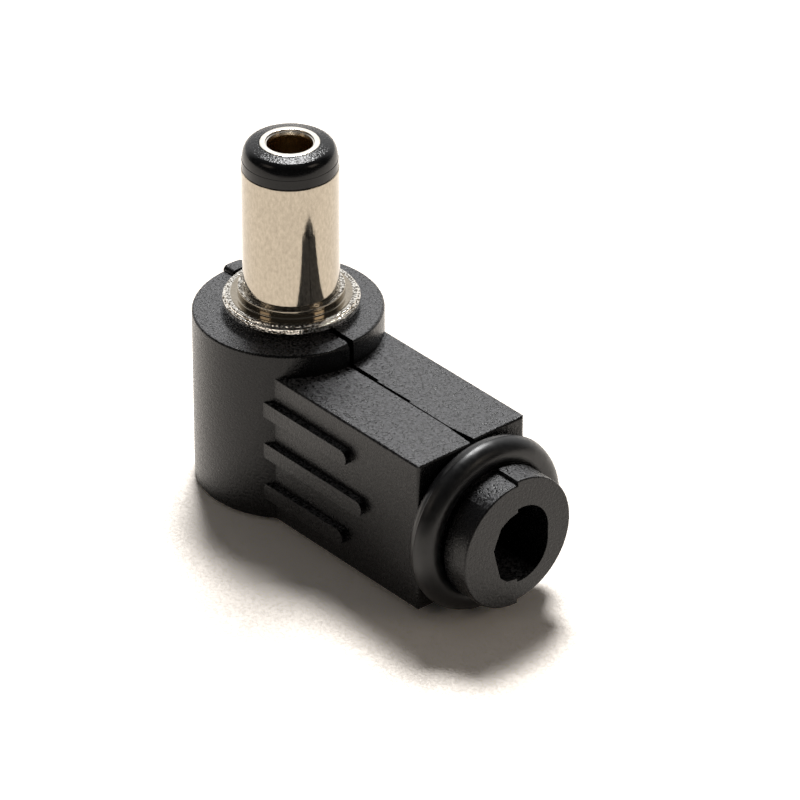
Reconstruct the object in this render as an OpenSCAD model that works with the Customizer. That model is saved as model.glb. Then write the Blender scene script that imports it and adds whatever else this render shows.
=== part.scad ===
// Right-angle DC power plug with a two-part shell held shut by an O-ring.
// Millimetres. The barrel stands on +Z, the cable arm runs to +X and the shell's flat base is z = 0.
// The shell halves part on the plane y = 0.

/* [Barrel] */
// Outside diameter of the barrel
barrel_d = 5.5; // [5.3:0.1:5.6]
// Wall of the barrel sleeve
sleeve_wall = 0.4; // [0.3:0.05:0.45]
// Length of the sleeve above the flange
sleeve_len = 8.1; // [6:0.1:10]
// Diameter of the low step at the barrel's foot
step_d = 6.1; // [5.9:0.1:6.4]
// Height of that step
step_h = 0.48; // [0.3:0.02:0.6]
// Diameter of the flange
flange_d = 7.8; // [7:0.1:8.4]
// Thickness of the flange
flange_t = 0.55; // [0.4:0.05:0.8]
// Width of the small step round the flange's top edge
flange_step = 0.16; // [0.1:0.02:0.3]
// Depth of that step
flange_step_h = 0.14; // [0.1:0.02:0.2]
// Edge break left by the turning tool
edge_break = 0.06; // [0.02:0.01:0.08]
// Clear gap between the shell and the flange
flange_gap = 0.5; // [0.3:0.05:0.7]

/* [Tip] */
// Bore of the centre contact
socket_d = 2.5; // [2.1:0.1:2.5]
// Depth of that bore from the tip
socket_depth = 10.1; // [8:0.1:10.4]
// Outside diameter of the centre contact
tube_d = 3.04; // [2.9:0.02:3.1]
// Diameter of its flared rim
rim_d = 3.4; // [3.3:0.05:3.6]
// Thickness of that rim
rim_t = 0.25; // [0.2:0.05:0.4]
// How far the rim stands past the sleeve's end
tip_len = 1.6; // [1.5:0.05:2]
// Diameter of the insulator's nose
nose_d = 5.42; // [5.2:0.02:5.44]
// Corner radius of the nose
nose_round = 0.8; // [0.7:0.02:1.16]

/* [Head] */
// Diameter of the shell's round head
head_d = 10.9; // [10.6:0.1:11.4]
// Height of the near half of the head
head_h = 10.82; // [10.6:0.02:11]
// How much higher the far half of the head stands
head_lift = 0.14; // [0:0.02:0.2]
// How far the head's centre lies behind the barrel
head_back = 0.3; // [0:0.05:0.4]
// Height of the lug on the head's back rim
lug_h = 0.33; // [0.3:0.01:0.6]

/* [Arm] */
// Width of the arm across both halves
arm_w = 8.1; // [7.8:0.1:8.6]
// Height of the arm
arm_h = 9.4; // [9:0.1:9.6]
// Distance from the barrel's axis to the arm's end face
arm_end = 15.6; // [15:0.1:17]
// Wall of the shell
wall = 1.2; // [1:0.05:1.2]
// Wall at the end of the arm
end_wall = 1.3; // [1.2:0.1:1.6]
// Rounding of the shell's edges
edge_r = 0.15; // [0.1:0.01:0.2]
// Rounding of the near half's upright corners
near_corner_r = 0.18; // [0.16:0.01:0.4]
// Rounding of the far half's upright corners
far_corner_r = 0.32; // [0.2:0.02:0.5]
// How much shorter the far half's arm is
far_short = 0.2; // [0:0.05:0.3]
// How much narrower the far half's arm is
far_narrow = 0.1; // [0:0.02:0.2]

/* [Seam] */
// Gap beside the far half's edge on the head and the first stretch of the arm
seam_gap = 0.22; // [0.1:0.02:0.3]
// Where that stretch ends
seam_step_x = 7.34; // [6:0.02:8]
// Where the gap closes to a hairline
seam_close_x = 10.17; // [9:0.01:12]
// Gap beside the near half's edge along the arm
seam_line = 0.09; // [0.04:0.01:0.1]
// Where the seam opens out towards the end of the arm
splay_x = 13.4; // [13:0.1:14]
// How far it opens there, on each side
splay = 0.24; // [0.1:0.02:0.4]

/* [Grip ribs] */
// Width of a rib
rib_w = 0.97; // [0.7:0.01:1.2]
// Distance from one rib to the next
rib_pitch = 2.7; // [2.4:0.1:2.8]
// Height of the lowest rib's middle
rib_z = 1.86; // [1.7:0.02:2]
// How far the ribs stand out of the arm
rib_out = 0.42; // [0.2:0.02:0.6]
// Where each rib ends along the arm, from the lowest up
rib_ends = [9.6, 11.25, 9.95]; // [9:0.05:13]

/* [Neck and ring] */
// Length of the ring's groove
groove_len = 1.9; // [1.8:0.05:2.2]
// Diameter of the neck in that groove
neck_d = 7; // [6.8:0.1:7.2]
// Height of the neck's axis
neck_z = 4.6; // [4.5:0.05:4.8]
// Diameter of the end collar
collar_d = 7.76; // [7.5:0.02:8]
// Height of its axis on the far half
collar_z = 4.7; // [4.6:0.05:4.8]
// How much lower the collar sits on the near half
collar_drop = 0.25; // [0:0.05:0.3]
// Length of the collar
collar_len = 1.76; // [1.4:0.02:2]
// Thickness of the O-ring's cord
ring_cord = 1.8; // [1.6:0.1:1.8]
// Diameter of the O-ring between the middles of its cord
ring_d = 8.7; // [8.6:0.1:8.8]

/* [Cable hole] */
// Width of the hole through the neck and collar
hole_w = 4; // [3.6:0.1:4.2]
// Height of that hole
hole_h = 4.8; // [4.4:0.1:5]
// Height of its middle
hole_z = 4.4; // [4.3:0.05:4.6]
// How far it lies towards the far half
hole_side = 0.25; // [0:0.05:0.3]
// Diameter of the round grip in the arm's end wall
grip_d = 3.2; // [3:0.1:3.3]

/* [Terminals] */
// Thickness of the terminal strip
strip_t = 0.45; // [0.3:0.05:0.45]
// Width of the sleeve terminal's strip
strip_w = 2.4; // [2:0.1:2.6]
// Width of the centre terminal's strip
lug_w = 2; // [1.6:0.1:2.2]
// Diameter of the solder holes
solder_d = 1.2; // [1:0.1:1.4]

/* [Hidden] */
FINE = 96;
ROUND = 48;
SMALL = 32;
past = 1;                              // how far a cut runs past a surface

barrel_r = barrel_d / 2;
sleeve_r = barrel_r - sleeve_wall;
head_r = head_d / 2;
half_w = arm_w / 2;
flange_r = flange_d / 2;
step_r = step_d / 2;
neck_r = neck_d / 2;
collar_r = collar_d / 2;
collar_edge = 0.1;

// Levels up the barrel
roof_t = 1.12;                         // shell over the hollow in the head
ceiling_z = head_h - roof_t;
flange_z = head_h + head_lift / 2 + flange_gap;
shoulder_z = flange_z + flange_t;
sleeve_end = shoulder_z + sleeve_len;
tip_z = sleeve_end + tip_len;
keeper_t = 0.6;                        // collar under the shell's ceiling
keeper_z = ceiling_z - keeper_t;
lip_t = 0.25;                          // swaged lip under the ring of the sleeve terminal
foot_z = keeper_z - strip_t - lip_t;
seat_z = keeper_z + 0.2;               // inner shoulder that the insulator stands on
nose_z = tip_z - 0.03;                 // top of the insulator, a hair below the contact's rim
washer_t = 0.6;
eyelet_z = foot_z - washer_t - strip_t;
rivet_t = 0.35;

// Radii of the turned foot
throat_r = barrel_r - 0.15;            // where the sleeve passes through the shell
throat_gap = 0.1;
keeper_r = barrel_r + 0.55;
spigot_r = barrel_r - 0.35;
lip_r = spigot_r + 0.4;
foot_bore_r = sleeve_r - 0.4;
tail_r = 0.8;
rivet_r = tail_r + 0.45;
slack = 0.03;                          // assembly clearance on a radius

// Stations along the arm
head_front = head_r - head_back;
groove_end = arm_end + groove_len;
collar_end = groove_end + collar_len;
ring_x = arm_end + groove_len / 2;
cavity_end = arm_end - end_wall;
saddle_x = 11;
saddle_len = 2.6;

SHELL = "#1b1b1c";
RUBBER = "#121213";
NICKEL = "#c9bda9";
BRASS = "#c2a05a";
INSULATOR = "#17171a";
FIBRE = "#5a3b2a";
TINNED = "#b9bab6";

// ---- Shell ----

// Half section of a round bar, from the axis out, with its two outer corners rounded
module bar_section(r, h, e) {
    square([r - e, h]);
    translate([0, e]) square([r, h - 2 * e]);
    for (z = [e, h - e])
        translate([r - e, z]) circle(e, $fn = SMALL);
}

// Rectangle from the origin with rounded corners
module rounded_rect(a, b, e) {
    translate([e, 0]) square([a - 2 * e, b]);
    translate([0, e]) square([a, b - 2 * e]);
    for (x = [e, a - e], y = [e, b - e])
        translate([x, y]) circle(e, $fn = SMALL);
}

// A block for the arm, w wide to each side and rounded along all its edges, its upright ones by corner
module arm_block(len, w, corner) {
    intersection() {
        translate([0, w, 0]) rotate([90, 0, 0])
            linear_extrude(2 * w) rounded_rect(len, arm_h, edge_r);
        translate([0, -w, 0])
            linear_extrude(arm_h) rounded_rect(len, 2 * w, corner);
        translate([len, -w, 0]) rotate([90, 0, -90]) mirror([1, 0, 0])
            linear_extrude(len) rounded_rect(2 * w, arm_h, edge_r);
    }
}

// Round head of height h
module head_block(h) {
    translate([-head_back, 0, 0])
        rotate_extrude($fn = FINE) bar_section(head_r, h, edge_r);
}

// Neck under the O-ring, and the collar that keeps the ring on, with the collar's axis at height z
module neck_and_collar(z) {
    translate([arm_end - wall, 0, neck_z]) rotate([0, 90, 0])
        cylinder(r = neck_r, h = groove_len + wall + collar_len / 2, $fn = FINE);
    translate([groove_end, 0, z]) rotate([0, 90, 0])
        rotate_extrude($fn = FINE) bar_section(collar_r, collar_len, collar_edge);
}

// Raised grip bars on the side wall at -w; they run out into the round head
module grip_ribs(w) {
    root = 0.5;
    for (i = [0:len(rib_ends) - 1])
        translate([0, -w + root, rib_z + i * rib_pitch]) rotate([90, 0, 0])
            linear_extrude(root + rib_out) {
                translate([0, -rib_w / 2]) square([rib_ends[i] - rib_w / 2, rib_w]);
                translate([rib_ends[i] - rib_w / 2, 0]) circle(rib_w / 2, $fn = SMALL);
            }
}

// Hollow for the contacts and the cable's cores
module cavity() {
    translate([-head_back, 0, wall])
        cylinder(r = head_r - wall, h = ceiling_z - wall, $fn = FINE);
    translate([0, -half_w + wall, wall])
        cube([cavity_end, arm_w - 2 * wall, arm_h - 2 * wall]);
    translate([0, 0, ceiling_z - past])
        cylinder(r = throat_r + throat_gap, h = wall + 2 * past, $fn = ROUND);
}

// The far half's notch at the cable hole: round-ended and tall
module far_notch() {
    rise = (hole_h - hole_w) / 2;
    for (z = [-rise, rise])
        translate([hole_side, z]) circle(d = hole_w, $fn = ROUND);
    translate([hole_side - hole_w / 2, -rise]) square([hole_w, 2 * rise]);
}

// The near half's notch, cut in flats; its deepest corner lies a little above the middle
module near_notch() {
    deep = hole_w / 2 - hole_side;
    high = 0.92 * hole_h / 2;
    // corners as shares of the depth and of the height
    corners = [[-0.1, 1], [0.34, 0.91], [0.7, 0.73], [1, 0.16], [0.72, -0.73], [0.44, -0.93], [-0.1, -1]];
    polygon([for (c = corners) [-deep * c[0], high * c[1]]]);
}

// Way in for the cable: a round grip in the end wall, then the notches through the neck
module cable_way(side) {
    translate([cavity_end - past, 0, hole_z]) rotate([0, 90, 0])
        cylinder(d = grip_d, h = end_wall + 2 * past, $fn = ROUND);
    translate([arm_end, 0, hole_z]) rotate([90, 0, 90])
        linear_extrude(groove_len + collar_len + past)
            if (side < 0) near_notch(); else far_notch();
}

// One half of the shell: side is -1 for the near half and +1 for the far one, h is its head's height,
// len and w are the length and the width of its half of the arm
module shell_half(side, h, len, w) {
    reach = 30;
    intersection() {
        difference() {
            union() {
                head_block(h);
                arm_block(len, w, side < 0 ? near_corner_r : far_corner_r);
                neck_and_collar(side < 0 ? collar_z - collar_drop : collar_z);
                if (side < 0) grip_ribs(w); else mirror([0, 1, 0]) grip_ribs(w);
            }
            cavity();
            cable_way(side);
        }
        translate([-reach / 2, side < 0 ? -reach : 0, -past]) cube([2 * reach, reach, reach]);
    }
}

// Cut along the top of the seam: the half's edge follows stations of [x, distance from the seam]
module seam_cut(side, stations) {
    deep = 0.6;
    ends = [stations[0], stations[len(stations) - 1]];
    difference() {
        translate([0, 0, arm_h - deep]) linear_extrude(head_h)
            polygon(concat([[ends[0][0], -side * past]], [for (s = stations) [s[0], side * s[1]]],
                           [[ends[1][0], -side * past]]));
        translate([-head_back, 0, 0]) cylinder(r = head_r - deep, h = head_h - deep, $fn = FINE);
    }
}

// Places of the locating pins along the parting plane
pin_inset = 1.7;
PINS = [[cavity_end + end_wall / 2, arm_h - pin_inset], [cavity_end + end_wall / 2, wall],
        [-head_back - head_r + wall / 2, arm_h / 2]];
pin_r = 0.32;
pin_len = 0.9;
pin_root = 0.3;
pin_gap = 0.05;

// Near half, with the locating pins; a small flat breaks its rim beside the seam
module shell_near_half() {
    rim_flat = 0.2;
    edge = [[head_front - far_corner_r, seam_line], [splay_x, seam_line], [arm_end, splay]];
    color(SHELL) {
        difference() {
            shell_half(-1, head_h, arm_end, half_w);
            seam_cut(-1, edge);
            translate([head_front, 0, head_h]) rotate([0, 45, 0])
                cube([sqrt(2) * rim_flat, head_d, sqrt(2) * rim_flat], center = true);
        }
        for (p = PINS)
            translate([p[0], pin_len, p[1]]) rotate([90, 0, 0])
                cylinder(r = pin_r, h = pin_len + pin_root, $fn = SMALL);
    }
}

// Far half, with the pins' sockets and the rim's lug; its edge stands back from the seam in two stretches,
// reaches the seam behind them, where the cut passes clear of it, and leaves it again at the end
module shell_far_half() {
    taper = [0.07, 0.13];
    clear = -0.1;
    edge = [[sleeve_r, seam_gap], [seam_step_x, seam_gap], [seam_step_x, taper[0]],
            [seam_close_x, taper[1]], [seam_close_x, clear], [splay_x - 2 * splay, clear],
            [arm_end, splay]];
    color(SHELL) {
        difference() {
            shell_half(1, head_h + head_lift, arm_end - far_short, half_w - far_narrow);
            seam_cut(1, edge);
            for (p = PINS)
                translate([p[0], pin_len + pin_gap, p[1]]) rotate([90, 0, 0])
                    cylinder(r = pin_r + pin_gap, h = pin_len + past, $fn = SMALL);
        }
        lug();
    }
}

// Lug that laps over the near half at the back of the rim, with rounded shoulders
module lug() {
    lap = 0.3;
    span = 1.4;
    depth = 0.85;
    shoulder = 0.3;
    inset = 0.04;
    intersection() {
        translate([-head_back - head_r, -lap, head_h - 2 * shoulder]) rotate([90, 0, 90])
            linear_extrude(depth) rounded_rect(span, lug_h + 2 * shoulder, shoulder);
        translate([-head_back, 0, head_h]) cylinder(r = head_r - inset, h = lug_h + past, $fn = FINE);
    }
}

// ---- Ring ----

// O-ring, pressed flat on its inside where it grips the neck
module retaining_ring() {
    color(RUBBER)
        translate([ring_x, 0, neck_z]) rotate([0, 90, 0])
            difference() {
                rotate_extrude($fn = FINE) translate([ring_d / 2, 0]) circle(d = ring_cord, $fn = ROUND);
                translate([0, 0, -ring_cord]) cylinder(r = neck_r, h = 2 * ring_cord, $fn = FINE);
            }
}

// ---- Contacts ----

// Turned outer contact, from the swaged lip up to the end of the barrel
module sleeve_contact() {
    color(NICKEL)
        rotate_extrude($fn = FINE)
            difference() {
                polygon([[0, foot_z], [lip_r, foot_z], [lip_r, foot_z + lip_t], [spigot_r, foot_z + lip_t],
                         [spigot_r, keeper_z], [keeper_r, keeper_z], [keeper_r, ceiling_z],
                         [throat_r, ceiling_z], [throat_r, flange_z],
                         [flange_r - edge_break, flange_z], [flange_r, flange_z + edge_break],
                         [flange_r, shoulder_z - flange_step_h - edge_break],
                         [flange_r - flange_step, shoulder_z - flange_step_h],
                         [flange_r - flange_step, shoulder_z - edge_break],
                         [flange_r - flange_step - edge_break, shoulder_z], [step_r, shoulder_z],
                         [step_r, shoulder_z + step_h - edge_break],
                         [step_r - edge_break, shoulder_z + step_h], [barrel_r, shoulder_z + step_h],
                         [barrel_r, sleeve_end], [0, sleeve_end]]);
                translate([0, foot_z - past]) square([foot_bore_r, sleeve_end]);
                translate([0, seat_z]) square([sleeve_r, sleeve_end]);
            }
}

// Insulating tube with a domed nose over the sleeve's end
module tip_insulator() {
    nose_r = nose_d / 2;
    dome_z = nose_z - nose_round;
    color(INSULATOR)
        rotate_extrude($fn = FINE)
            difference() {
                union() {
                    translate([0, seat_z]) square([sleeve_r - slack, sleeve_end - seat_z]);
                    translate([0, sleeve_end]) square([nose_r, dome_z - sleeve_end]);
                    translate([0, sleeve_end]) square([nose_r - nose_round, nose_z - sleeve_end]);
                    translate([nose_r - nose_round, dome_z]) circle(nose_round, $fn = ROUND);
                }
                translate([0, seat_z - past]) square([tube_d / 2 + slack, sleeve_end]);
                translate([0, tip_z - rim_t]) square([rim_d / 2 + slack, past]);
                // the nose's circle ends at the sleeve's end and at the axis
                translate([sleeve_r - slack, 0]) square([nose_r, sleeve_end]);
                translate([-nose_r, 0]) square([nose_r, 2 * sleeve_end]);
            }
}

// Inner contact: a tube with a flared rim, closed at the foot and riveted through the centre terminal
module centre_contact() {
    lead = 0.08;
    rivet_edge = 0.2;
    drill_point = 0.3;
    tube_r = tube_d / 2;
    socket_r = socket_d / 2;
    socket_z = tip_z - socket_depth;
    rim_r = rim_d / 2;
    color(BRASS)
        rotate_extrude($fn = FINE)
            difference() {
                polygon([[0, eyelet_z - rivet_t], [rivet_r - rivet_edge, eyelet_z - rivet_t],
                         [rivet_r, eyelet_z - rivet_t / 2], [rivet_r, eyelet_z], [tail_r, eyelet_z],
                         [tail_r, seat_z], [tube_r, seat_z], [tube_r, tip_z - rim_t],
                         [rim_r, tip_z - rim_t], [rim_r, tip_z - lead], [rim_r - lead, tip_z],
                         [0, tip_z]]);
                polygon([[0, socket_z], [socket_r, socket_z + drill_point], [socket_r, tip_z - lead],
                         [socket_r + lead, tip_z], [socket_r + lead, tip_z + past], [0, tip_z + past]]);
            }
}

// Top-hat washer that keeps the centre terminal clear of the sleeve
module rear_washer() {
    brim_r = lip_r + 0.1;
    brim_z = foot_z - washer_t;
    color(FIBRE)
        rotate_extrude($fn = FINE)
            difference() {
                translate([0, brim_z]) {
                    square([brim_r, washer_t]);
                    square([foot_bore_r - slack, seat_z - brim_z]);
                }
                translate([0, brim_z - past]) square([tail_r + slack, seat_z]);
            }
}

// Stamped terminal of the sleeve: ring, strip down the back and along the floor, saddle for the cable
module sleeve_terminal() {
    back_x = -head_back - head_r + wall + 0.25;
    ramp = 0.8;                        // run of the strip's climb to the saddle
    knee = 0.2;
    tongue = 0.5;                      // stretch of strip under the saddle
    hole_x = 7.5;                      // solder hole
    saddle_r = grip_d / 2;
    saddle_out = saddle_r + strip_t;
    saddle_z = hole_z - saddle_out;
    ear_h = 1.3;
    color(TINNED)
        difference() {
            union() {
                // ring round the foot of the sleeve
                translate([0, 0, keeper_z - strip_t]) cylinder(r = keeper_r, h = strip_t, $fn = ROUND);
                // bent strip, drawn as its side view
                translate([0, strip_w / 2, 0]) rotate([90, 0, 0]) linear_extrude(strip_w)
                    polygon([[-spigot_r, keeper_z], [back_x, keeper_z], [back_x, wall],
                             [saddle_x - ramp, wall], [saddle_x, saddle_z],
                             [saddle_x + tongue, saddle_z], [saddle_x + tongue, saddle_z + strip_t],
                             [saddle_x - knee, saddle_z + strip_t],
                             [saddle_x - ramp - knee, wall + strip_t],
                             [back_x + strip_t, wall + strip_t], [back_x + strip_t, keeper_z - strip_t],
                             [-spigot_r, keeper_z - strip_t]]);
                // round-bottomed saddle with two upright ears
                translate([saddle_x, 0, hole_z]) rotate([0, 90, 0]) intersection() {
                    cylinder(r = saddle_out, h = saddle_len, $fn = ROUND);
                    translate([0, -saddle_out, 0]) cube([saddle_out, 2 * saddle_out, saddle_len]);
                }
                translate([saddle_x, -saddle_out, hole_z])
                    cube([saddle_len, 2 * saddle_out, ear_h]);
            }
            // hole for the sleeve's spigot
            translate([0, 0, keeper_z - past]) cylinder(r = spigot_r + slack, h = 2 * past, $fn = ROUND);
            // room for the cable
            translate([saddle_x - past, 0, hole_z]) rotate([0, 90, 0])
                cylinder(r = saddle_r, h = saddle_len + 2 * past, $fn = ROUND);
            translate([saddle_x - past, -saddle_r, hole_z])
                cube([saddle_len + 2 * past, 2 * saddle_r, ear_h + past]);
            // solder hole
            translate([hole_x, 0, 0]) cylinder(d = solder_d, h = 2 * wall, $fn = SMALL);
        }
}

// Stamped terminal of the centre contact: eyelet and strip
module centre_terminal() {
    eyelet_r = 2;
    end_x = 8.6;
    color(TINNED)
        translate([0, 0, eyelet_z]) difference() {
            linear_extrude(strip_t) {
                circle(eyelet_r, $fn = ROUND);
                translate([0, -lug_w / 2]) square([end_x, lug_w]);
                translate([end_x, 0]) circle(lug_w / 2, $fn = SMALL);
            }
            translate([0, 0, -past]) cylinder(r = tail_r + slack, h = 3 * past, $fn = SMALL);
            translate([end_x, 0, -past]) cylinder(d = solder_d, h = 3 * past, $fn = SMALL);
        }
}

shell_near_half();
shell_far_half();
retaining_ring();
sleeve_contact();
tip_insulator();
centre_contact();
rear_washer();
sleeve_terminal();
centre_terminal();
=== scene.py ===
"""Looks for a right-angle DC barrel plug: moulded shell, rubber ring, turned and plated contacts."""

import math

import bmesh
import bpy
from mathutils import Matrix, Vector


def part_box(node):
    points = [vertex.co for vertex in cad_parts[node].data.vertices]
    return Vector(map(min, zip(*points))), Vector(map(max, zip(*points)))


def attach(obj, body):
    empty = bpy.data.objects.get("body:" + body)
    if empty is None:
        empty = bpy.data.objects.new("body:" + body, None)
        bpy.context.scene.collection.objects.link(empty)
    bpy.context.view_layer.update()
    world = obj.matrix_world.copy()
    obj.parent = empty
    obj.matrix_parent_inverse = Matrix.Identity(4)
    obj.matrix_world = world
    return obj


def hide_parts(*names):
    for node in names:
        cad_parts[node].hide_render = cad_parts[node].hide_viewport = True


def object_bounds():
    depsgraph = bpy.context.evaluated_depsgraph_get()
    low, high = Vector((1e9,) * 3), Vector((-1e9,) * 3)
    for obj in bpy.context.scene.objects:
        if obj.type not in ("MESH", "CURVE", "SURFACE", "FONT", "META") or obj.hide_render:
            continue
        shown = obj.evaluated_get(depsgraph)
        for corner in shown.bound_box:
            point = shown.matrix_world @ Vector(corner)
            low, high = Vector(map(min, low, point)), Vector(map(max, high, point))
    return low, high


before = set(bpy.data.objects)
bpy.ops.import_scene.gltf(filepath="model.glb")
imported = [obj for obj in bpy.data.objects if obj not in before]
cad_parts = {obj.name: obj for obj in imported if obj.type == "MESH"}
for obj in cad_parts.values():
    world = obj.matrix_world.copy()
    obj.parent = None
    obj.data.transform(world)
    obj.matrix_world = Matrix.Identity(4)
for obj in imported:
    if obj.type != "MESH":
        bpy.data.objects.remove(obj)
cad_low, cad_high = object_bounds()

# ---- Camera ----
# The plug is seen from above its cable end, from far enough off that its edges stay nearly parallel.
MM = 0.001

azimuth = math.radians(49.265)
elevation = math.radians(31.985)
distance = 350 * MM
aim = (cad_low + cad_high) / 2 + Vector((-1.73, 3.74, -4.92)) * MM
backward = Vector((math.sin(azimuth) * math.cos(elevation),
                   -math.cos(azimuth) * math.cos(elevation),
                   math.sin(elevation)))

camera_data = bpy.data.cameras.new("camera")
camera_data.sensor_width = 36
camera_data.lens = 278
camera_data.clip_start = 10 * MM
camera = bpy.data.objects.new("camera", camera_data)
camera.location = aim + backward * distance
camera.rotation_euler = (math.pi / 2 - elevation, 0, azimuth)
bpy.context.scene.collection.objects.link(camera)
bpy.context.scene.camera = camera
bpy.context.scene.view_settings.view_transform = "Standard"


# ---- Floor ----
# A sheet of warm white card that ends a little way before the plug. The plug rests on its ring and on
# the heel of its head, so it leans a little, and here the card is tipped by that angle instead.
def linear(code):
    """sRGB hex to a linear colour with alpha."""
    parts = [int(code[i:i + 2], 16) / 255 for i in (1, 3, 5)]
    return tuple(c / 12.92 if c <= 0.04045 else ((c + 0.055) / 1.055) ** 2.4 for c in parts) + (1,)


def add_node(tree, kind, settings=None, links=None):
    """Adds a shader node: settings are inputs by name or number, or attributes; links are input: socket."""
    node = tree.nodes.new("ShaderNode" + kind)
    for name, value in (settings or {}).items():
        if isinstance(name, str) and name not in node.inputs:
            setattr(node, name, value)
    for name, value in (settings or {}).items():
        if isinstance(name, int) or name in node.inputs:
            node.inputs[name].default_value = value
    for name, socket in (links or {}).items():
        tree.links.new(socket, node.inputs[name])
    return node


def new_material(name):
    """An empty node material: the material, its tree, its surface socket and its object coordinates."""
    material = bpy.data.materials.new(name)
    material.use_nodes = True
    tree = material.node_tree
    tree.nodes.clear()
    output = add_node(tree, "OutputMaterial")
    place = add_node(tree, "TexCoord")
    return material, tree, output.inputs["Surface"], place.outputs["Object"]


def seen_directly(tree):
    """1 where the background shows itself: to the camera, or in gloss or glass; 0 where it only lights."""
    path = add_node(tree, "LightPath")
    seen = path.outputs["Is Camera Ray"]
    for ray in ("Is Glossy Ray", "Is Transmission Ray"):
        seen = add_node(tree, "Math", {"operation": "MAXIMUM"}, {0: seen, 1: path.outputs[ray]}).outputs[0]
    return seen


card_size = 600 * MM
card_front = 70 * MM                   # how far the card reaches before the plug
ring_low, ring_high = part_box("retaining_ring")
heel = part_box("shell_near_half")[0]
toe = Vector(((ring_low.x + ring_high.x) / 2, 0, ring_low.z))
lean = math.atan2(heel.z - toe.z, toe.x - heel.x)

bm = bmesh.new()
bmesh.ops.create_grid(bm, x_segments=1, y_segments=1, size=card_size / 2)
bmesh.ops.translate(bm, verts=bm.verts, vec=(0, card_size / 2 - card_front, 0))
bmesh.ops.rotate(bm, verts=bm.verts, matrix=Matrix.Rotation(azimuth, 3, "Z"))
bmesh.ops.rotate(bm, verts=bm.verts, matrix=Matrix.Rotation(lean, 3, "Y"))
bmesh.ops.translate(bm, verts=bm.verts, vec=toe)
card_mesh = bpy.data.meshes.new("card")
bm.to_mesh(card_mesh)
bm.free()
card = bpy.data.objects.new("card", card_mesh)
bpy.context.scene.collection.objects.link(card)

# Uncoated card: matt and slightly warm, with a fine tooth that shows where the shadow thins out. The
# real tooth is finer and is drawn as coarse as it needs to show.
tooth = 0.18 * MM
lift = 1.27                            # how much whiter it shows than it lights
white_card, tree, surface, place = new_material("uncoated_card")
fibres = add_node(tree, "TexNoise", {"Scale": 1 / tooth, "Detail": 1.0}, {"Vector": place})
speckle = add_node(tree, "MapRange", {"From Min": 0.35, "From Max": 0.7, "To Min": 0.93, "To Max": 1.2},
                   {"Value": fibres.outputs["Fac"]})
shown = add_node(tree, "MapRange", {"To Min": 1.0, "To Max": lift}, {"Value": seen_directly(tree)})
level = add_node(tree, "Math", {"operation": "MULTIPLY"}, {0: shown.outputs[0], 1: speckle.outputs[0]})
tint = add_node(tree, "VectorMath", {"operation": "SCALE", 0: linear("#f3ece4")[:3]},
                {"Scale": level.outputs[0]})
matt = add_node(tree, "BsdfDiffuse", None, {"Color": tint.outputs[0]})
tree.links.new(matt.outputs[0], surface)
card.data.materials.append(white_card)


# ---- Light ----
# A soft box high behind the plug makes the shadow that falls towards the viewer. Two weak warm ones
# fill it from the front, and the room is white behind the plug and dim before it.
def soft_box(name, place, watts, size, colour="#ffffff"):
    """A square soft box in metres that faces the plug."""
    data = bpy.data.lights.new(name, "AREA")
    data.energy = watts
    data.size = size
    data.color = linear(colour)[:3]
    lamp = bpy.data.objects.new(name, data)
    lamp.location = place
    lamp.rotation_euler = (-Vector(place)).to_track_quat("-Z", "Y").to_euler()
    bpy.context.scene.collection.objects.link(lamp)


def beside_camera(turn, rise, reach):
    """A place turned from the camera's azimuth, at an elevation and a distance from the plug."""
    around = azimuth + math.radians(turn)
    up = math.radians(rise)
    return (reach * math.sin(around) * math.cos(up), -reach * math.cos(around) * math.cos(up),
            reach * math.sin(up))


warm_white = "#fff0de"
fill_size = 0.2
soft_box("key_box", (-0.228, 0.231, 0.6), watts=6.2, size=0.18)
soft_box("left_fill", beside_camera(turn=-58, rise=32, reach=0.6), 0.15, fill_size, warm_white)
soft_box("right_fill", beside_camera(turn=62, rise=32, reach=0.6), 0.2, fill_size, warm_white)

# The room: its white back wall shows to the camera from everywhere, and in gloss where it stands.
room = bpy.data.worlds.new("room")
bpy.context.scene.world = room
room.use_nodes = True
tree = room.node_tree
tree.nodes.clear()
dim = 0.08                             # what the room gives as light
front = 0.06                           # its side before the plug, as gloss sees it
direction = add_node(tree, "TexCoord")
behind = add_node(tree, "VectorMath",
                  {"operation": "DOT_PRODUCT", 1: (-math.sin(azimuth), math.cos(azimuth), 0)},
                  {0: direction.outputs["Generated"]})
wall = add_node(tree, "MapRange", {"From Min": 0.3, "From Max": 0.7, "To Min": front, "To Max": 1.0},
                {"Value": behind.outputs["Value"]})
path = add_node(tree, "LightPath")
shown = add_node(tree, "Math", {"operation": "MAXIMUM"},
                 {0: wall.outputs[0], 1: path.outputs["Is Camera Ray"]})
strength = add_node(tree, "MapRange", {"To Min": dim},
                    {"Value": seen_directly(tree), "To Max": shown.outputs[0]})
backdrop = add_node(tree, "Background", {"Color": linear("#ffffff")}, {"Strength": strength.outputs[0]})
add_node(tree, "OutputWorld", None, {"Surface": backdrop.outputs[0]})


# ---- Shell ----
# Two halves moulded in black ABS that close on a seam along the plug's middle. Three pins locate them
# and the O-ring clamps them.

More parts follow.
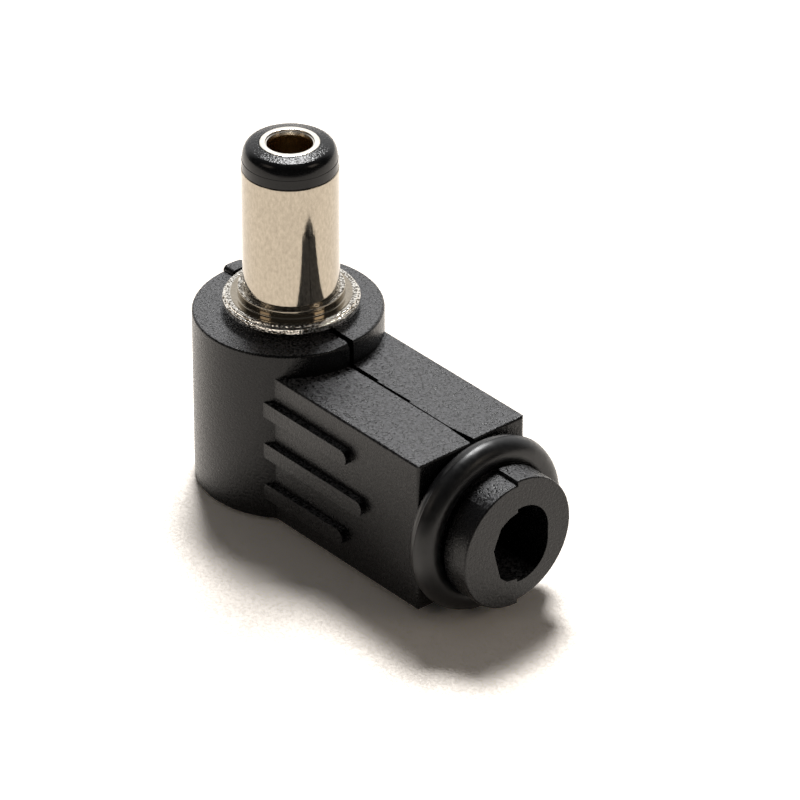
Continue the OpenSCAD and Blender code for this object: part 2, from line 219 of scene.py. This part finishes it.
# Spark-eroded ABS: the faces that look up glitter and the upright ones look plain charcoal. The grain is
# drawn coarser than it is so that it shows, and where it looks up it is deeper, and there its tips are
# drawn
# rough and painted grey: a painted highlight that stands for their glare.
spark_pit = 0.15 * MM
grain_depth = 0.07 * MM
edge_break = 0.03 * MM
scuff = 0.5 * MM
abs_shell, tree, surface, place = new_material("spark_eroded_abs")
pits = add_node(tree, "TexNoise", {"Scale": 1 / spark_pit, "Detail": 2.0, "Roughness": 0.7},
                {"Vector": place})
edges = add_node(tree, "Bevel", {"samples": 6, "Radius": edge_break})
facing = add_node(tree, "SeparateXYZ", None, {0: add_node(tree, "NewGeometry").outputs["True Normal"]})
looks_up = add_node(tree, "MapRange", {"From Min": 0.8, "From Max": 1.0}, {"Value": facing.outputs["Z"]})
relief = add_node(tree, "MapRange", {"To Min": 0.4, "To Max": 1.0}, {"Value": looks_up.outputs[0]})
grain = add_node(tree, "Bump", {"Distance": grain_depth},
                 {"Height": pits.outputs["Fac"], "Normal": edges.outputs[0], "Strength": relief.outputs[0]})
wear = add_node(tree, "TexNoise", {"Scale": 1 / scuff, "Detail": 6.0, "Roughness": 0.75}, {"Vector": place})
rubbed = add_node(tree, "MapRange", {"From Min": 0.66, "From Max": 0.74}, {"Value": wear.outputs["Fac"]})
scuffed = add_node(tree, "Mix", {"data_type": "RGBA", 6: linear("#09090a"), 7: linear("#2c2b2a")},
                   {0: rubbed.outputs[0]})
# painted highlight: on faces that look up, the grain's tips are coloured grey for their glare
tips = add_node(tree, "MapRange", {"From Min": 0.42, "From Max": 0.64}, {"Value": pits.outputs["Fac"]})
painted_glare_tips = add_node(tree, "Math", {"operation": "MULTIPLY"}, {0: tips.outputs[0], 1: looks_up.outputs[0]})
colour = add_node(tree, "Mix", {"data_type": "RGBA", 7: linear("#646466")},
                  {0: painted_glare_tips.outputs[0], 6: scuffed.outputs[2]})
roughest = add_node(tree, "MapRange", {"To Min": 0.34, "To Max": 0.62}, {"Value": looks_up.outputs[0]})
glitter = add_node(tree, "MapRange", {"From Min": 0.4, "From Max": 0.58, "To Min": 0.24},
                   {"Value": pits.outputs["Fac"], "To Max": roughest.outputs[0]})
plastic = add_node(tree, "BsdfPrincipled", {"IOR": 1.5, "Specular IOR Level": 0.3},
                   {"Base Color": colour.outputs[2], "Roughness": glitter.outputs[0],
                    "Normal": grain.outputs[0]})
tree.links.new(plastic.outputs[0], surface)


def dress(name, material):
    """Gives a CAD node its finish."""
    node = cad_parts[name]
    node.data.materials.clear()
    node.data.materials.append(material)


dress("shell_near_half", abs_shell)
dress("shell_far_half", abs_shell)


# ---- Retaining ring ----
# A moulded nitrile O-ring that snaps into the neck's groove and clamps the halves. It is seated on the
# neck, so its inside is flat, and it keeps a thin line of flash round its outside.
def outline_of(corners):
    """A closed outline in the XZ plane, in millimetres. A corner is (x, z), or (x, z, rounding)."""
    bm = bmesh.new()
    verts = []
    rounded = []
    for before, corner, after in zip(corners[-1:] + corners[:-1], corners, corners[1:] + corners[:1]):
        here = Vector((corner[0], 0, corner[1]))
        if len(corner) == 2:
            verts.append(bm.verts.new(here))
            continue
        # a point just past each end of the rounding keeps the faces beside it flat
        for end in (before, None, after):
            if end:
                side = Vector((end[0], 0, end[1])) - here
                verts.append(bm.verts.new(here + side.normalized() * corner[2] * 1.35))
            else:
                verts.append(bm.verts.new(here))
                rounded.append((verts[-1], corner[2]))
    bm.faces.new(verts)
    for vert, rounding in rounded:
        bmesh.ops.bevel(bm, geom=[vert], affect="VERTICES", offset=rounding, segments=4,
                        profile=0.5, material=-1)
    bmesh.ops.delete(bm, geom=bm.faces[:], context="FACES_ONLY")
    return bm


def turn(bm, steps):
    """Spins an outline's edges once round the Z axis."""
    bmesh.ops.spin(bm, geom=bm.verts[:] + bm.edges[:], cent=(0, 0, 0), axis=(0, 0, 1), dvec=(0, 0, 0),
                   angle=math.tau, steps=steps, use_merge=True)


def finish_piece(bm, name, material, replaces, sharp=35):
    """Turns a bmesh in millimetres into a finished piece that rides on the plug."""
    bmesh.ops.remove_doubles(bm, verts=bm.verts, dist=1e-4)
    bmesh.ops.recalc_face_normals(bm, faces=bm.faces)
    bmesh.ops.scale(bm, verts=bm.verts, vec=(MM, MM, MM))
    mesh = bpy.data.meshes.new(name)
    bm.to_mesh(mesh)
    bm.free()
    mesh.shade_smooth()
    mesh.set_sharp_from_angle(angle=math.radians(sharp))
    mesh.materials.append(material)
    piece = bpy.data.objects.new(name, mesh)
    bpy.context.scene.collection.objects.link(piece)
    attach(piece, "root")
    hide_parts(replaces)


flash = 0.025
flash_half = 0.06
cord_r = (ring_high.x - ring_low.x) / 2 / MM - flash
ring_x = (ring_high.x + ring_low.x) / 2 / MM
ring_z = (ring_high.z + ring_low.z) / 2 / MM
ring_r = (ring_high.z - ring_low.z) / 2 / MM - flash - cord_r
neck_r = 3.5
cord_steps = 64

# Nitrile rubber: near black, satin from the mould, with faint mottling and specks of dust.
mottle = 0.4 * MM
speck = 0.16 * MM
nitrile, tree, surface, place = new_material("moulded_nitrile")
patches = add_node(tree, "TexNoise", {"Scale": 1 / mottle, "Detail": 4.0}, {"Vector": place})
specks = add_node(tree, "TexVoronoi", {"Scale": 1 / (4 * speck)}, {"Vector": place})
dust = add_node(tree, "MapRange", {"From Min": 0.05, "From Max": 0.11, "To Min": 1.0, "To Max": 0.0},
                {"Value": specks.outputs["Distance"]})
pick = add_node(tree, "Math", {"operation": "GREATER_THAN", 1: 0.86}, {0: specks.outputs["Color"]})
dusty = add_node(tree, "Math", {"operation": "MULTIPLY"}, {0: dust.outputs[0], 1: pick.outputs[0]})
colour = add_node(tree, "Mix", {"data_type": "RGBA", 6: linear("#0d0d0e"), 7: linear("#57544f")},
                  {0: dusty.outputs[0]})
sheen = add_node(tree, "MapRange", {"From Min": 0.35, "From Max": 0.7, "To Min": 0.3, "To Max": 0.42},
                 {"Value": patches.outputs["Fac"]})
skin = add_node(tree, "Bump", {"Strength": 0.3, "Distance": 0.02 * MM}, {"Height": patches.outputs["Fac"]})
rubber = add_node(tree, "BsdfPrincipled", {"IOR": 1.5, "Specular IOR Level": 0.4},
                  {"Base Color": colour.outputs[2], "Roughness": sheen.outputs[0],
                   "Normal": skin.outputs[0]})
tree.links.new(rubber.outputs[0], surface)

cord_outline = []
for i in range(cord_steps):
    angle = math.tau * i / cord_steps
    outward = ring_r + cord_r * math.cos(angle)
    cord_outline.append((max(outward, neck_r), cord_r * math.sin(angle)))
cord_outline[1:1] = [(ring_r + cord_r, flash_half)]
cord_outline.append((ring_r + cord_r, -flash_half))
cord_outline[0] = (ring_r + cord_r + flash, 0)
bm = outline_of(cord_outline)
turn(bm, 160)
bmesh.ops.rotate(bm, verts=bm.verts, matrix=Matrix.Rotation(math.pi / 2, 3, "Y"))
bmesh.ops.translate(bm, verts=bm.verts, vec=(ring_x, 0, ring_z))
finish_piece(bm, "o_ring", nitrile, "retaining_ring")

# ---- Sleeve contact ----
# The plug's outer contact: brass bar turned to a thin sleeve with a step and a two-step flange at its
# foot, then nickel plated. Its swaged lip clamps the sleeve terminal inside the shell.
sleeve_low, sleeve_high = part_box("sleeve_contact")
flange_r = sleeve_high.x / MM
sleeve_top = sleeve_high.z / MM
lip_z = sleeve_low.z / MM
barrel_r = 2.75
bore_r = 2.35
step_r = 3.05
foot_bore_r = 1.95
lip_r = 2.8
spigot_r = 2.4
keeper_r = 3.3
throat_r = 2.6
keeper_z = lip_z + 0.7
ceiling_z = keeper_z + 0.6
flange_z = ceiling_z + 1.69
shoulder_z = flange_z + 0.55
step_z = shoulder_z + 0.48
edge_step = 0.16                       # the fine step round the flange's top edge
edge_step_z = shoulder_z - 0.14
sleeve_profile = [
    (foot_bore_r, lip_z), (lip_r, lip_z, 0.08), (lip_r, lip_z + 0.25), (spigot_r, lip_z + 0.25),
    (spigot_r, keeper_z), (keeper_r, keeper_z), (keeper_r, ceiling_z), (throat_r, ceiling_z),
    (throat_r, flange_z), (flange_r, flange_z, 0.06), (flange_r, edge_step_z - 0.03, 0.05),
    (flange_r - edge_step + 0.03, edge_step_z, 0.02), (flange_r - edge_step, shoulder_z, 0.04),
    (step_r, shoulder_z, 0.08), (step_r, step_z, 0.04), (barrel_r, step_z, 0.03),
    (barrel_r, sleeve_top, 0.05), (bore_r, sleeve_top), (bore_r, keeper_z + 0.2),
    (foot_bore_r, keeper_z + 0.2),
]

# Nickel plate over brass: warm grey metal, brightly polished and faintly streaked up the barrel, but
# left ringed, torn and grainy by the tool on the step and round the flange's rim, with painted glints
# there.
streak = 0.16 * MM
blotch = 1.3 * MM
facing_cut = 0.06 * MM
torn_grain = 0.13 * MM
torn_from = 3.42                       # the tool tore the metal outside this radius
torn_on_step = 0.12                    # and to either side of the middle of the step
nickel, tree, surface, place = new_material("nickel_plated_brass")
stretch = add_node(tree, "Mapping", {"Scale": (1.0, 1.0, 0.5)}, {"Vector": place})
streaks = add_node(tree, "TexNoise", {"Scale": 1 / streak, "Detail": 4.0, "Roughness": 0.65},
                   {"Vector": stretch.outputs[0]})
blotches = add_node(tree, "TexNoise", {"Scale": 1 / blotch, "Detail": 3.0}, {"Vector": place})
flat = add_node(tree, "VectorMath", {"operation": "MULTIPLY", 1: (1, 1, 0)}, {0: place})
radius = add_node(tree, "VectorMath", {"operation": "LENGTH"}, {0: flat.outputs[0]})
rings = add_node(tree, "TexNoise", {"noise_dimensions": "1D", "Scale": 1 / facing_cut, "Detail": 1.0},
                 {"W": radius.outputs["Value"]})
torn = add_node(tree, "TexNoise", {"Scale": 1 / torn_grain, "Detail": 1.0}, {"Vector": place})
cut = add_node(tree, "Math", {"operation": "ADD"}, {0: rings.outputs["Fac"], 1: torn.outputs["Fac"]})
on_rim = add_node(tree, "MapRange", {"From Min": torn_from * MM, "From Max": (torn_from + 0.08) * MM},
                  {"Value": radius.outputs["Value"]})
off_step = add_node(tree, "Math", {"operation": "SUBTRACT", 1: (barrel_r + step_r) / 2 * MM},
                    {0: radius.outputs["Value"]})
from_step = add_node(tree, "Math", {"operation": "ABSOLUTE"}, {0: off_step.outputs[0]})
on_step = add_node(tree, "Math", {"operation": "LESS_THAN", 1: torn_on_step * MM},
                   {0: from_step.outputs[0]})
unpolished = add_node(tree, "Math", {"operation": "MAXIMUM"},
                      {0: on_rim.outputs[0], 1: on_step.outputs[0]})
left_cut = add_node(tree, "Math", {"operation": "MULTIPLY"}, {0: cut.outputs[0], 1: unpolished.outputs[0]})
polished = add_node(tree, "Mix", {"data_type": "RGBA", 6: linear("#887f72"), 7: linear("#c5bbaa")},
                    {0: streaks.outputs["Fac"]})
pitted = add_node(tree, "MapRange", {"From Min": 0.38, "From Max": 0.6}, {"Value": torn.outputs["Fac"]})
# painted glints: the torn grain is coloured dark and near-white, and the near-white flecks stand for glints
torn_flecks_and_painted_glints = add_node(tree, "Mix", {"data_type": "RGBA", 6: linear("#5c5346"), 7: linear("#f4f0e8")},
                  {0: pitted.outputs[0]})
colour = add_node(tree, "Mix", {"data_type": "RGBA"},
                  {0: unpolished.outputs[0], 6: polished.outputs[2], 7: torn_flecks_and_painted_glints.outputs[2]})
polish = add_node(tree, "MapRange", {"From Min": 0.3, "From Max": 0.7, "To Min": 0.05, "To Max": 0.11},
                  {"Value": blotches.outputs["Fac"]})
dulled = add_node(tree, "MapRange", {"To Max": 0.1},
                  {"Value": unpolished.outputs[0], "To Min": polish.outputs[0]})
drawn = add_node(tree, "Bump", {"Strength": 0.2, "Distance": 0.01 * MM}, {"Height": streaks.outputs["Fac"]})
turned = add_node(tree, "Bump", {"Strength": 1.0, "Distance": 0.02 * MM},
                  {"Height": left_cut.outputs[0], "Normal": drawn.outputs[0]})
plated = add_node(tree, "BsdfPrincipled", {"Metallic": 1.0},
                  {"Base Color": colour.outputs[2], "Roughness": dulled.outputs[0],
                   "Normal": turned.outputs[0]})
tree.links.new(plated.outputs[0], surface)

bm = outline_of(sleeve_profile)
turn(bm, 192)
finish_piece(bm, "outer_sleeve", nickel, "sleeve_contact")

# ---- Tip insulator ----
# A glossy black nylon tube moulded between the two contacts. It swells to a full-shouldered nose over
# the sleeve's end, with a sloping top and a fine step where the mould's two parts met.
nose_low, nose_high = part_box("tip_insulator")
nose_r = nose_high.x / MM
nose_top = nose_high.z / MM
tube_foot = nose_low.z / MM
recess_r = 1.73
recess_z = nose_top - 0.21
tube_bore_r = 1.55
brow_r = 2.32                          # where the sloping top breaks into the shoulder
brow_z = nose_top - 0.12
shoulder_in = 0.53
shoulder_up = 1.05
fullness = 2.5                         # 2 would make the shoulder an ellipse
shoulder_steps = 20
mould_step = 0.02
mould_step_at = 3

# The shoulder is a superellipse from the nose's side up to its sloping top.
swell = 2 / fullness
brow_share = (brow_r - nose_r + shoulder_in) / shoulder_in
last = math.acos(brow_share ** (1 / swell))
foot_of_shoulder = brow_z - shoulder_up * math.sin(last) ** swell
nose_profile = [(tube_bore_r, tube_foot), (bore_r - 0.03, tube_foot), (bore_r - 0.03, sleeve_top),
                (nose_r, sleeve_top, 0.04)]
for i in range(shoulder_steps + 1):
    angle = last * (i / shoulder_steps) ** 1.4
    x = nose_r - shoulder_in * (1 - math.cos(angle) ** swell)
    z = foot_of_shoulder + shoulder_up * math.sin(angle) ** swell
    if i == mould_step_at:
        nose_profile.append((x, z))
    nose_profile.append((x - (mould_step if i >= mould_step_at else 0), z))
nose_profile += [(recess_r, nose_top - 0.005), (recess_r, recess_z), (tube_bore_r, recess_z)]

# Black nylon: a deep gloss with faint flow marks round its side. The sloping top came rough from the
# mould and catches the light as a grainy band.
flow_mark = 0.5 * MM
grit_size = 0.1 * MM
nylon, tree, surface, place = new_material("glossy_black_nylon")
flow = add_node(tree, "TexNoise", {"Scale": 1 / flow_mark, "Detail": 4.0}, {"Vector": place})
gloss = add_node(tree, "MapRange", {"From Min": 0.35, "From Max": 0.65, "To Min": 0.15, "To Max": 0.24},
                 {"Value": flow.outputs["Fac"]})
height = add_node(tree, "SeparateXYZ", None, {0: place})
top_face = add_node(tree, "MapRange", {"From Min": (brow_z - 0.03) * MM, "From Max": (brow_z + 0.01) * MM},
                    {"Value": height.outputs["Z"]})
grit = add_node(tree, "TexNoise", {"Scale": 1 / grit_size, "Detail": 1.0}, {"Vector": place})
rough_top = add_node(tree, "Math", {"operation": "MULTIPLY"},
                     {0: grit.outputs["Fac"], 1: top_face.outputs[0]})
gritty = add_node(tree, "Bump", {"Strength": 1.0, "Distance": 0.03 * MM}, {"Height": rough_top.outputs[0]})
skin = add_node(tree, "BsdfPrincipled",
                {"Base Color": linear("#0b0b0c"), "IOR": 1.5, "Specular IOR Level": 0.3},
                {"Roughness": gloss.outputs[0], "Normal": gritty.outputs[0]})
tree.links.new(skin.outputs[0], surface)

bm = outline_of(nose_profile)
turn(bm, 160)
finish_piece(bm, "nose", nylon, "tip_insulator", sharp=25)

# ---- Centre contact ----
# The inner contact: a drilled brass tube, flared into a bright plated rim over the insulator and
# riveted at its foot through the centre terminal. The jack's pin goes into its bore.
pin_low, pin_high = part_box("centre_contact")
rim_r = pin_high.x / MM
rim_top = pin_high.z / MM
rim_foot = rim_top - 0.25
rivet_z = pin_low.z / MM
tube_r = 1.52
socket_r = 1.25
socket_floor = rim_top - 9.8
rivet_r = 1.25
tail_r = 0.8
pin_profile = [
    (0, rivet_z), (rivet_r, rivet_z, 0.18), (rivet_r, rivet_z + 0.35), (tail_r, rivet_z + 0.35),
    (tail_r, tube_foot), (tube_r, tube_foot), (tube_r, rim_foot), (rim_r, rim_foot),
    (rim_r, rim_top, 0.06), (socket_r + 0.13, rim_top, 0.03), (socket_r + 0.11, rim_top - 0.09),
    (socket_r + 0.06, rim_top - 0.12), (socket_r, rim_top - 0.32, 0.04), (socket_r, socket_floor),
    (0, socket_floor - 0.3),
]

# Bright plating, silver white on the rim; it thins out down the bore, where the brass looks golden brown.
tarnish_patch = 0.3 * MM
bright_rim, tree, surface, place = new_material("plated_contact")
height = add_node(tree, "SeparateXYZ", None, {0: place})
plating = add_node(tree, "MapRange",
                   {"From Min": (rim_top - 0.4) * MM, "From Max": (rim_top - 0.12) * MM},
                   {"Value": height.outputs["Z"]})
colour = add_node(tree, "Mix", {"data_type": "RGBA", 6: linear("#c4aa80"), 7: linear("#f2ece2")},
                  {0: plating.outputs[0]})
tarnish = add_node(tree, "TexNoise", {"Scale": 1 / tarnish_patch, "Detail": 3.0}, {"Vector": place})
polish = add_node(tree, "MapRange", {"To Min": 0.14, "To Max": 0.3}, {"Value": tarnish.outputs["Fac"]})
metal = add_node(tree, "BsdfPrincipled", {"Metallic": 1.0},
                 {"Base Color": colour.outputs[2], "Roughness": polish.outputs[0]})
tree.links.new(metal.outputs[0], surface)

bm = outline_of(pin_profile)
turn(bm, 128)
finish_piece(bm, "pin_socket", bright_rim, "centre_contact")

# ---- Rear washer ----
# A top-hat washer of red-brown vulcanised fibre, punched and pressed, between the sleeve's foot and
# the centre terminal.
# Vulcanised fibre: dull, with faint darker and lighter layers.
layer = 0.12 * MM
fibre, tree, surface, place = new_material("vulcanised_fibre")
pressed = add_node(tree, "Mapping", {"Scale": (0.3, 0.3, 1.0)}, {"Vector": place})
layers = add_node(tree, "TexNoise", {"Scale": 1 / layer, "Detail": 3.0}, {"Vector": pressed.outputs[0]})
colour = add_node(tree, "Mix", {"data_type": "RGBA", 6: linear("#4a2c1d"), 7: linear("#6b4630")},
                  {0: layers.outputs["Fac"]})
paper = add_node(tree, "Bump", {"Strength": 0.4, "Distance": 0.01 * MM}, {"Height": layers.outputs["Fac"]})
board = add_node(tree, "BsdfPrincipled", {"Roughness": 0.65},
                 {"Base Color": colour.outputs[2], "Normal": paper.outputs[0]})
tree.links.new(board.outputs[0], surface)
dress("rear_washer", fibre)

# ---- Terminals ----
# Two lugs stamped and folded from tinned brass strip: one clamped under the sleeve's swaged foot, the
# other riveted to the centre contact. Both end in solder holes, and one carries a cable saddle.
# Tinned brass: pale grey and softly shiny, with fine rolling lines along the strip.
rolled = 0.15 * MM
tinned, tree, surface, place = new_material("tinned_brass_strip")
drawn_out = add_node(tree, "Mapping", {"Scale": (0.1, 1.0, 1.0)}, {"Vector": place})
lines = add_node(tree, "TexNoise", {"Scale": 1 / rolled, "Detail": 3.0}, {"Vector": drawn_out.outputs[0]})
polish = add_node(tree, "MapRange", {"To Min": 0.25, "To Max": 0.45}, {"Value": lines.outputs["Fac"]})
rolling = add_node(tree, "Bump", {"Strength": 0.3, "Distance": 0.01 * MM}, {"Height": lines.outputs["Fac"]})
tin = add_node(tree, "BsdfPrincipled", {"Base Color": linear("#c9c8c2"), "Metallic": 1.0},
               {"Roughness": polish.outputs[0], "Normal": rolling.outputs[0]})
tree.links.new(tin.outputs[0], surface)
dress("sleeve_terminal", tinned)
dress("centre_terminal", tinned)
